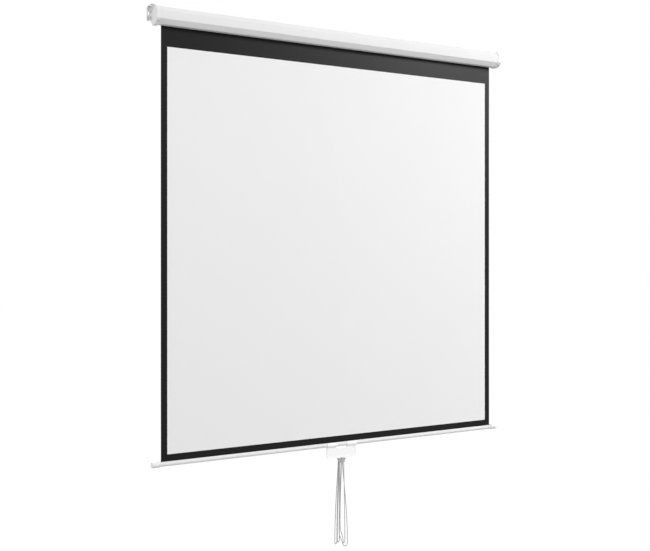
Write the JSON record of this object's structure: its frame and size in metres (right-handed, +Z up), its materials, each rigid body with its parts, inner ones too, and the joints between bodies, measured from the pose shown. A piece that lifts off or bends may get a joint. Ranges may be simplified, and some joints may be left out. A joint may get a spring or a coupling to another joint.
{
  "type": "projection screen",
  "caption": "Pull-down projection screen: a spring roller in a wall-hung case lets down a framed white fabric with a bottom bar, a pull handle and a pull cord.",
  "frame": {"origin": "on the wall face, midway between the centres of the two brackets' wall slots", "axes": "+X along the case to the viewer's right, +Y into the wall, +Z up"},
  "size_m": [1.586, 0.0715, 2.0316],
  "materials": {
    "white_paint": "satin powder coat",
    "white_plastic": "satin moulded",
    "zinc_plate": "zinc plated",
    "steel": "bright",
    "spring_steel": "oiled",
    "aluminium": "mill finish",
    "nylon": "moulded",
    "black_fabric": "matt black backing",
    "white_fabric": "matt white",
    "cord_yarn": "braided"
  },
  "bodies": {
    "case": {"case_shell": "white_paint", "end_cap_left": "white_plastic", "end_cap_right": "white_plastic", "hanger_bracket_left": "zinc_plate", "hanger_bracket_right": "zinc_plate", "cap_screw_left_front": "zinc_plate", "cap_screw_left_rear": "zinc_plate", "bracket_screw_left_upper": "zinc_plate", "bracket_screw_left_lower": "zinc_plate", "cap_screw_right_front": "zinc_plate", "cap_screw_right_rear": "zinc_plate", "bracket_screw_right_upper": "zinc_plate", "bracket_screw_right_lower": "zinc_plate", "spring_shaft": "steel", "ratchet_wheel": "steel", "shaft_socket": "steel", "spring_anchor": "nylon", "lift_spring": "spring_steel", "idler_bush": "nylon", "screen_fabric": "black_fabric", "viewing_surface": "white_fabric"},
    "roller": {"roller_tube": "aluminium", "fabric_roll": "black_fabric", "idler_plug": "nylon", "idler_pin": "steel", "ratchet_plug": "nylon", "pawl_pin_upper": "steel", "pawl_pin_lower": "steel"},
    "upper_pawl": {"pawl_upper": "steel"},
    "lower_pawl": {"pawl_lower": "steel"},
    "screen_bar": {"bottom_bar": "white_paint", "bar_cap_left": "white_plastic", "bar_cap_right": "white_plastic", "hem_rod": "nylon"},
    "handle": {"pull_handle": "white_plastic"},
    "cord": {"cord_knot": "cord_yarn", "pull_cord": "cord_yarn"}
  },
  "joints": [
    {"name": "screen_travel", "type": "slide", "parent": "case", "child": "screen_bar", "axis": [0, 0, 1], "range_m": [0, 1.541], "deforming": ["screen_fabric", "viewing_surface"]},
    {"name": "roller_spin", "type": "hinge", "parent": "case", "child": "roller", "pos_m": [0, -0.04455, -0.013], "axis": [1, 0, 0], "range_deg": [0, 4700]},
    {"name": "upper_pawl_swing", "type": "hinge", "parent": "roller", "child": "upper_pawl", "pos_m": [-0.7653, -0.04455, -0.0006], "axis": [1, 0, 0], "range_deg": [0, 25]},
    {"name": "lower_pawl_swing", "type": "hinge", "parent": "roller", "child": "lower_pawl", "pos_m": [-0.7653, -0.04455, -0.0254], "axis": [1, 0, 0], "range_deg": [-25, 0]},
    {"name": "handle_swing", "type": "hinge", "parent": "screen_bar", "child": "handle", "pos_m": [0, -0.027, -1.6008], "axis": [1, 0, 0], "range_deg": [-38, 38]},
    {"name": "cord_hang", "type": "hinge", "parent": "handle", "child": "cord", "pos_m": [0, -0.027, -1.6563], "axis": [1, 0, 0], "range_deg": [-38, 38]}
  ],
  "couplings": [
    {"joint": "roller_spin", "follows": "screen_travel", "rad_per_m": 52.9},
    {"joint": "cord_hang", "follows": "handle_swing", "ratio": -1}
  ]
}
